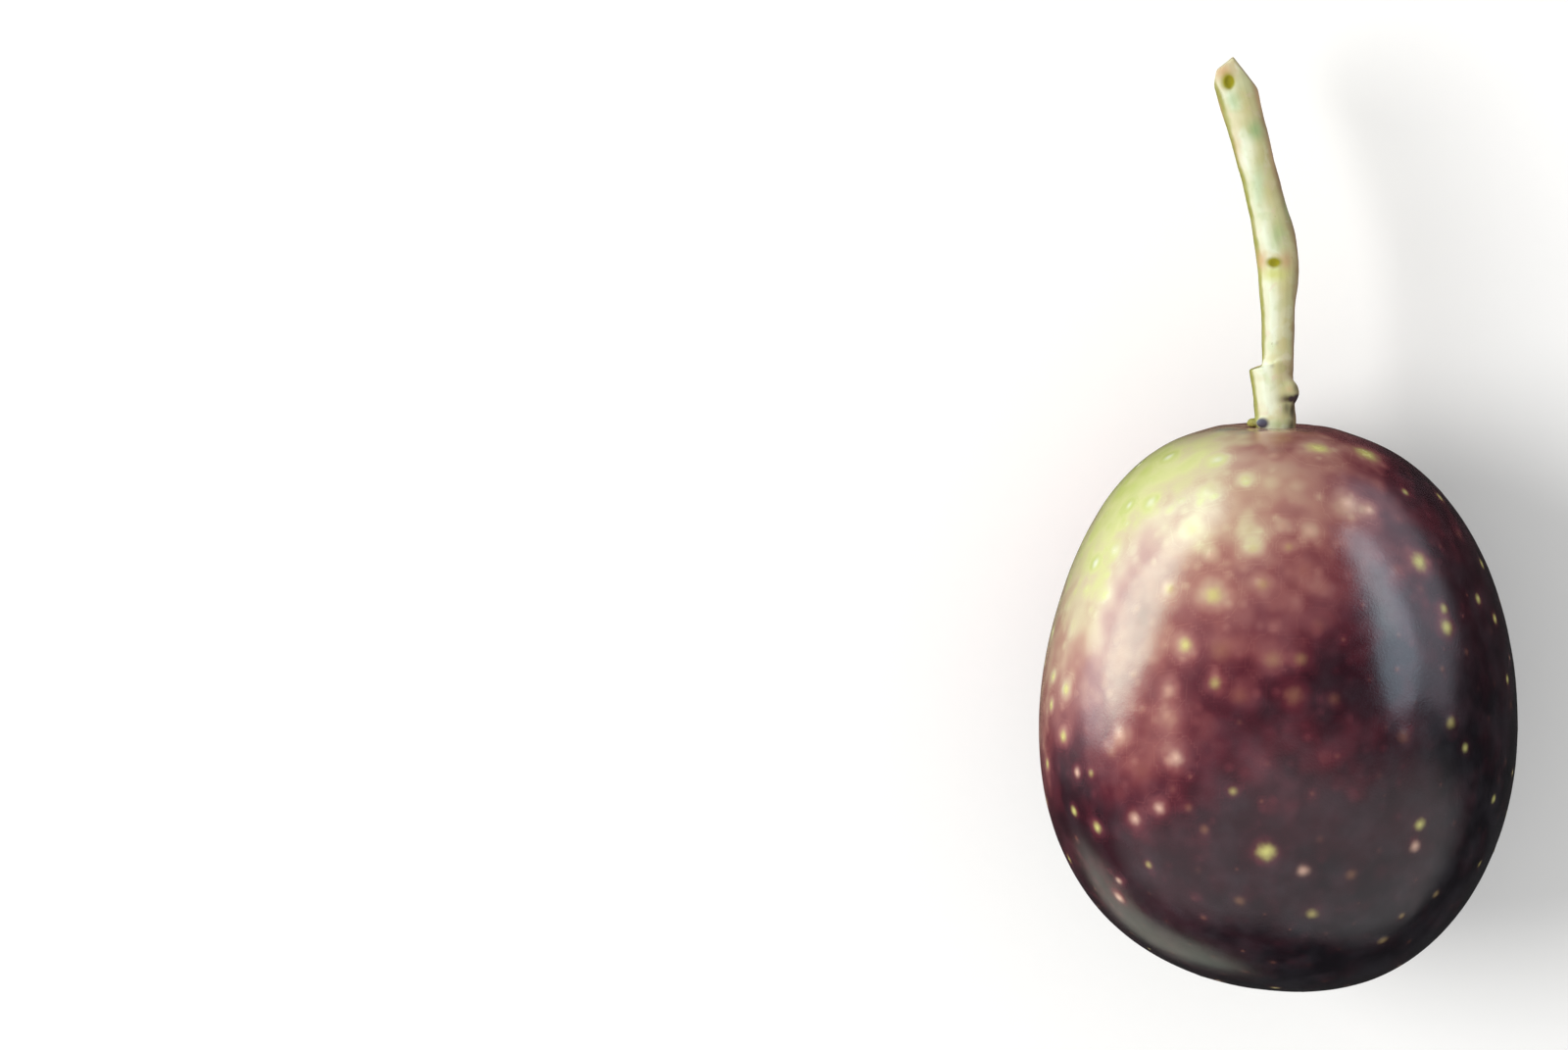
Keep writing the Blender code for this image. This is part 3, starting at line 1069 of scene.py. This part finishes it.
def attribute(tree, name, output="Fac"):
    """A number or vector stored on the mesh."""
    node = tree.nodes.new("ShaderNodeAttribute")
    node.attribute_name = name
    return node.outputs[output]


def calculate(tree, operation, first, second):
    """One step of arithmetic."""
    node = tree.nodes.new("ShaderNodeMath")
    node.operation = operation
    feed(tree, node.inputs[0], first)
    feed(tree, node.inputs[1], second)
    return node.outputs["Value"]


def vector_math(tree, operation, first, second=None):
    """One step of arithmetic on vectors."""
    node = tree.nodes.new("ShaderNodeVectorMath")
    node.operation = operation
    feed(tree, node.inputs[0], first)
    if second is not None:
        feed(tree, node.inputs["Scale" if operation == "SCALE" else 1], second)
    gives_number = operation in ("DOT_PRODUCT", "LENGTH")
    return node.outputs["Value" if gives_number else "Vector"]


def remap(tree, value, low, high, to_low=0.0, to_high=1.0):
    """Smooth change of a value between two limits."""
    node = tree.nodes.new("ShaderNodeMapRange")
    node.interpolation_type = "SMOOTHSTEP"
    for socket, given in zip(node.inputs[:5], (value, low, high, to_low, to_high)):
        feed(tree, socket, given)
    return node.outputs["Result"]


def noise_node(tree, place, scale, detail=3.0, roughness=0.5, distortion=0.0):
    """Noise between 0 and 1."""
    node = tree.nodes.new("ShaderNodeTexNoise")
    feed(tree, node.inputs["Vector"], place)
    node.inputs["Scale"].default_value = scale
    node.inputs["Detail"].default_value = detail
    node.inputs["Roughness"].default_value = roughness
    node.inputs["Distortion"].default_value = distortion
    return node.outputs["Fac"]


def mix(tree, share, first, second, blend="MIX"):
    """Mix of two linear colours, through the node's colour inputs and output."""
    node = tree.nodes.new("ShaderNodeMix")
    node.data_type = "RGBA"
    node.blend_type = blend
    node.clamp_factor = True
    feed(tree, node.inputs[0], share)
    feed(tree, node.inputs[6], first)
    feed(tree, node.inputs[7], second)
    return node.outputs[2]


def tinted(tree, share, colour, tint):
    """A colour with a share of an sRGB tint over it."""
    return mix(tree, share, colour, from_srgb(tint))


def ramp(tree, value, stops):
    """Colour ramp from stops with a position and an sRGB colour."""
    node = tree.nodes.new("ShaderNodeValToRGB")
    feed(tree, node.inputs["Fac"], value)
    elements = node.color_ramp.elements
    while len(elements) < len(stops):
        elements.new(0.5)
    for element, (position, colour) in zip(elements, stops):
        element.position = position
        element.color = from_srgb(colour)
    return node.outputs["Color"]


def bump(tree, height, depth, strength, normal=None):
    """Bumped normal from a height, with its depth in mm."""
    node = tree.nodes.new("ShaderNodeBump")
    node.inputs["Strength"].default_value = strength
    node.inputs["Distance"].default_value = depth * MM
    feed(tree, node.inputs["Height"], height)
    if normal is not None:
        feed(tree, node.inputs["Normal"], normal)
    return node.outputs["Normal"]


def new_material(name):
    """A material with its tree and its Principled shader."""
    material = bpy.data.materials.new(name)
    material.use_nodes = True
    return material, material.node_tree, material.node_tree.nodes["Principled BSDF"]


# Materials


def soft_blobs(tree, place, scale):
    """Round soft patches, each of its own strength."""
    node = tree.nodes.new("ShaderNodeTexVoronoi")
    node.feature = "SMOOTH_F1"
    feed(tree, node.inputs["Vector"], place)
    node.inputs["Scale"].default_value = scale
    node.inputs["Smoothness"].default_value = BLOB_SMOOTHNESS
    strength = tree.nodes.new("ShaderNodeSeparateColor")
    feed(tree, strength.inputs["Color"], node.outputs["Color"])
    strength = remap(tree, strength.outputs["Red"], *BLOB_STRENGTH_SPAN, 0.0, BLOB_CHANGE)
    cover = remap(tree, node.outputs["Distance"], *BLOB_SPAN)
    return calculate(tree, "MULTIPLY", cover, strength)


def skin_ripeness(tree, place):
    """Ripeness of the skin with its mottles and less ripe blobs."""
    mottle = noise_node(tree, place, MOTTLE_SCALE, detail=1.0)
    mottle = remap(tree, mottle, *NOISE_SPAN, -MOTTLE_CHANGE, MOTTLE_CHANGE)
    ripe = calculate(tree, "ADD", attribute(tree, "ripeness"), mottle)
    for scale in BLOB_SCALES:
        ripe = calculate(tree, "SUBTRACT", ripe, soft_blobs(tree, place, scale))
    return ripe


def dot_layer(tree, number, wobble, on_pale):
    """Cover and tint of one layer's dots, and how much less ripe the skin is round them."""
    reach = vector_math(tree, "LENGTH", attribute(tree, f"dots_{number}", "Vector"))
    reach = calculate(tree, "ADD", reach, wobble)
    look = attribute(tree, f"dot_look_{number}")
    hue = attribute(tree, f"dot_hue_{number}")
    cover = calculate(tree, "POWER", remap(tree, reach, *DOT_SPAN), DOT_POWER)
    most = remap(tree, look, *DOT_COVER_SPAN, *DOT_COVER)
    cover = calculate(tree, "MULTIPLY", cover, most)
    tint = mix(tree, hue, from_srgb(PINK_DOT), from_srgb(YELLOW_DOT))
    tint = mix(tree, remap(tree, look, *CLEAR_DOT_SPAN), from_srgb(FAINT_DOT), tint)
    tint = tinted(tree, on_pale, tint, DOT_ON_PALE_SKIN)
    halo = calculate(tree, "MULTIPLY", remap(tree, reach, *HALO_SPAN), look)
    return cover, tint, calculate(tree, "MULTIPLY", halo, HALO_CHANGE)


def skin_material():
    """Ripening olive skin: green to black by ripeness, with pale dots and a waxy gloss."""
    material, tree, shader = new_material("olive_skin")
    place = attribute(tree, "own_place", "Vector")
    ripe = skin_ripeness(tree, place)
    on_pale = remap(tree, ripe, *PALE_SKIN_SPAN)
    wobble = noise_node(tree, place, WOBBLE_SCALE, detail=1.0)
    wobble = remap(tree, wobble, *WOBBLE_SPAN, -DOT_WOBBLE, DOT_WOBBLE)
    layers = [dot_layer(tree, number, wobble, on_pale) for number in range(1, DOT_LAYERS + 1)]
    for _, _, halo in layers:
        ripe = calculate(tree, "SUBTRACT", ripe, halo)
    colour = ramp(tree, ripe, SKIN_COLOURS)
    raised = 0.0
    for cover, tint, _ in layers:
        colour = mix(tree, cover, colour, tint)
        raised = calculate(tree, "ADD", cover, raised)
    # Russet, the painted reflection by the stalk, and the dark apex tip
    for kind, tint in SKIN_TINTS:
        colour = tinted(tree, attribute(tree, kind), colour, tint)
    bloom = noise_node(tree, place, BLOOM_SCALE, detail=2.0)
    bloom = remap(tree, bloom, *BLOOM_SPAN, 0.0, BLOOM_COVER)
    feed(tree, shader.inputs["Base Color"], tinted(tree, bloom, colour, BLOOM))
    rough = noise_node(tree, place, GLOSS_SCALE, detail=4.0, roughness=0.6)
    rough = remap(tree, rough, *NOISE_SPAN, *SKIN_ROUGHNESS)
    rough = calculate(tree, "ADD", rough, calculate(tree, "MULTIPLY", raised, DOT_ROUGHNESS))
    feed(tree, shader.inputs["Roughness"], rough)
    shader.inputs["IOR"].default_value = SKIN_IOR
    shader.inputs["Coat Weight"].default_value = COAT_WEIGHT
    shader.inputs["Coat Roughness"].default_value = COAT_ROUGHNESS
    pores = noise_node(tree, place, PORE_SCALE, detail=3.0, roughness=0.65)
    normal = bump(tree, pores, PORE_DEPTH, strength=0.6)
    normal = bump(tree, raised, DOT_DEPTH, strength=1.0, normal=normal)
    feed(tree, shader.inputs["Normal"], normal)
    return material


def stalk_base(tree, place, streak):
    """The stalk's colour from side to side, partly painted shade at its edges and on its right,
    with patches inside its edges and streaks.
    """
    side = attribute(tree, "side")
    # 1 along the middle of the stalk and 0 along its edges
    inside = calculate(tree, "MULTIPLY", side, calculate(tree, "SUBTRACT", 1.0, side))
    inside = calculate(tree, "MULTIPLY", inside, 4.0)
    stray = noise_node(tree, place, STRAY_SCALE, detail=2.0)
    stray = remap(tree, stray, *NOISE_SPAN, -STALK_STRAY, STALK_STRAY)
    stray = calculate(tree, "MULTIPLY", stray, inside)
    colour = ramp(tree, calculate(tree, "ADD", side, stray), STALK_COLOURS)
    for scale, span, most, tint in STALK_PATCHES:
        patch = noise_node(tree, place, scale, detail=2.0, distortion=PATCH_DISTORTION)
        patch = remap(tree, patch, *span, 0.0, most)
        colour = tinted(tree, calculate(tree, "MULTIPLY", patch, inside), colour, tint)
    return tinted(tree, remap(tree, streak, *STREAK_SPAN, 0.0, STREAK_COVER), colour, STREAK)


def stalk_marked(tree, place, colour):
    """The stalk's colour with its marks and fine brown specks."""
    for kind, tint, most in SOFT_MARKS:
        cover = calculate(tree, "MULTIPLY", attribute(tree, kind), most)
        colour = tinted(tree, cover, colour, tint)
    for kind, tint in CLEAR_MARKS:
        cover = remap(tree, attribute(tree, kind), *EDGE_SPAN)
        colour = tinted(tree, cover, colour, tint)
    speck = noise_node(tree, place, SPECK_SCALE, detail=2.0)
    speck = remap(tree, speck, *SPECK_SPAN, 0.0, SPECK_COVER)
    return tinted(tree, speck, colour, SPECK)


def stalk_material():
    """Fresh pale stalk: tan along its right side, partly painted shade, mottled, with darker old
    scars, a slate bead, and painted shade round the knob and the collar.
    """
    material, tree, shader = new_material("olive_stalk")
    place = attribute(tree, "own_place", "Vector")
    fibre = attribute(tree, "fibre", "Vector")
    streak = noise_node(tree, fibre, STREAK_SCALE, detail=4.0, roughness=0.6)
    colour = stalk_marked(tree, place, stalk_base(tree, place, streak))
    feed(tree, shader.inputs["Base Color"], colour)
    rough = remap(tree, streak, *NOISE_SPAN, *STALK_ROUGHNESS)
    feed(tree, shader.inputs["Roughness"], rough)
    shader.inputs["IOR"].default_value = STALK_IOR
    fibres = noise_node(tree, fibre, FIBRE_SCALE, detail=4.0, roughness=0.65)
    normal = bump(tree, fibres, FIBRE_DEPTH, strength=0.7)
    grains = noise_node(tree, place, GRAIN_SCALE, detail=2.0)
    normal = bump(tree, grains, GRAIN_DEPTH, strength=0.5, normal=normal)
    feed(tree, shader.inputs["Normal"], normal)
    return material


def floor_material():
    """Plain pale matt floor with a faint tooth."""
    material, tree, shader = new_material("pale_floor")
    place = tree.nodes.new("ShaderNodeTexCoord").outputs["Object"]
    tooth = noise_node(tree, place, FLOOR_TOOTH_SCALE, detail=2.0)
    darker, lighter = FLOOR_COLOURS
    colour = mix(tree, tooth, from_srgb(darker), from_srgb(lighter))
    feed(tree, shader.inputs["Base Color"], colour)
    shader.inputs["Roughness"].default_value = FLOOR_ROUGHNESS
    shader.inputs["Specular IOR Level"].default_value = 0.0
    shader.inputs["Emission Color"].default_value = WHITE
    shader.inputs["Emission Strength"].default_value = FLOOR_GLOW
    return material


# Stage


def make_floor():
    """Plain pale floor under the olive."""
    form = bmesh.new()
    bmesh.ops.create_circle(form, cap_ends=True, segments=FLOOR_SIDES, radius=FLOOR_RADIUS)
    mesh = bpy.data.meshes.new("floor")
    form.to_mesh(mesh)
    form.free()
    mesh.materials.append(floor_material())
    floor = add_object("floor", mesh)
    floor.visible_glossy = False


def make_key_light():
    """Broad soft light from the upper left for the shading alone."""
    data = bpy.data.lights.new("key", "AREA")
    data.shape = "DISK"
    data.size = KEY_SIZE
    data.color = KEY_COLOUR
    data.energy = KEY_LIGHT * (math.pi * KEY_DISTANCE) ** 2
    light = add_object("key", data)
    back = KEY_DIRECTION.normalized()
    place = Matrix.Translation(FRUIT_CENTRE + back * KEY_DISTANCE)
    light.matrix_world = place @ back.to_track_quat("Z", "Y").to_matrix().to_4x4()
    light.visible_camera = False
    light.visible_glossy = False


def mirror_direction(camera, surface, across, down):
    """Direction in which the skin at a photo pixel mirrors the line of sight."""
    _, direction = photo_ray(camera, across, down)
    _, normal = photo_hit(camera, surface, across, down)
    return (direction - 2.0 * direction.dot(normal) * normal).normalized()


def glow_share(tree, towards, start, end, softness):
    """Share of a glow seen in a direction, for one stretch between two directions."""
    first, first_width = start
    last, last_width = end
    arc = last - first
    along = vector_math(tree, "DOT_PRODUCT", towards, arc / arc.length_squared)
    part = calculate(tree, "SUBTRACT", along, first.dot(arc) / arc.length_squared)
    part.node.use_clamp = True
    place = vector_math(tree, "ADD", vector_math(tree, "SCALE", arc, part), first)
    middle = vector_math(tree, "NORMALIZE", place)
    nearness = vector_math(tree, "DOT_PRODUCT", towards, middle)
    limits = []
    for extra in (softness, 0.0):
        at_first = math.cos(math.radians(first_width + extra))
        at_last = math.cos(math.radians(last_width + extra))
        change = calculate(tree, "MULTIPLY", part, at_last - at_first)
        limits.append(calculate(tree, "ADD", change, at_first))
    return remap(tree, nearness, *limits)


def mirrored_colour(tree, towards, camera, surface):
    """Colour that the gloss mirrors in a direction: dark surroundings and the glows."""
    mirrored = (SURROUND, SURROUND, SURROUND, 1.0)
    for colour, brightness, softness, route in GLOWS.values():
        places = [
            (mirror_direction(camera, surface, across, down), width)
            for across, down, width in route
        ]
        share = 0.0
        for start, end in zip(places, places[1:]):
            stretch = glow_share(tree, towards, start, end, softness)
            share = calculate(tree, "MAXIMUM", stretch, share)
        glow = (*(channel * brightness for channel in colour), 1.0)
        mirrored = mix(tree, share, mirrored, glow, "ADD")
    return mirrored


def background(tree, colour):
    """Background shader of one colour."""
    node = tree.nodes.new("ShaderNodeBackground")
    feed(tree, node.inputs["Color"], colour)
    return node.outputs["Background"]


def make_surroundings(camera, surface):
    """White to the camera, soft ambient light, and windows and glows in the gloss."""
    world = bpy.data.worlds.new("studio")
    world.use_nodes = True
    tree = world.node_tree
    rays = tree.nodes.new("ShaderNodeLightPath")
    towards = tree.nodes.new("ShaderNodeTexCoord").outputs["Generated"]
    mirrored = mirrored_colour(tree, towards, camera, surface)
    shader = background(tree, (AMBIENT, AMBIENT, AMBIENT, 1.0))
    for ray, seen in (("Is Glossy Ray", mirrored), ("Is Camera Ray", WHITE)):
        blend = tree.nodes.new("ShaderNodeMixShader")
        feed(tree, blend.inputs[0], rays.outputs[ray])
        feed(tree, blend.inputs[1], shader)
        feed(tree, blend.inputs[2], background(tree, seen))
        shader = blend.outputs["Shader"]
    feed(tree, tree.nodes["World Output"].inputs["Surface"], shader)
    bpy.context.scene.world = world


def main():
    """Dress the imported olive."""
    bpy.context.scene.view_settings.view_transform = "Standard"
    camera = make_camera()
    surface = make_fruit(camera)
    make_stem(camera)
    make_floor()
    make_surroundings(camera, surface)
    make_key_light()


main()
